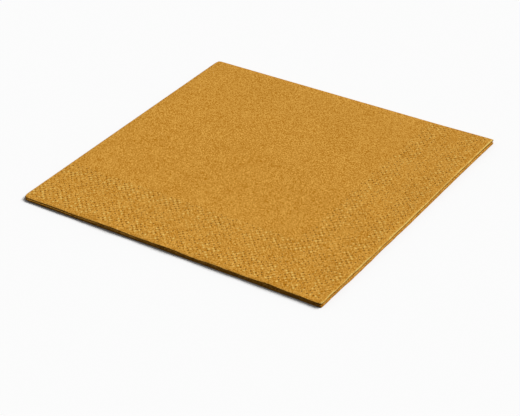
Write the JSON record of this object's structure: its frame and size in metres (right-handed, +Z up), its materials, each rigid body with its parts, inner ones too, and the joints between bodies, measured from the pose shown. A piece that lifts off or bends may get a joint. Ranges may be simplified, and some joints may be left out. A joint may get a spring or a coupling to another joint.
{
  "type": "paper napkin",
  "caption": "Soft brown tissue napkin, folded to a flat square, with softly rounded folds, loose cut edges and an embossed border, for use at table.",
  "frame": {"origin": "centre of the underside of the folded napkin", "axes": "+Z up through the leaves; the first fold runs along the +Y side and the second along the -X side, so that the cut edges face -Y and +X"},
  "size_m": [0.165, 0.165, 0.0024],
  "materials": {
    "tissue": "matte"
  },
  "bodies": {
    "root": {"napkin": "tissue"}
  },
  "joints": []
}
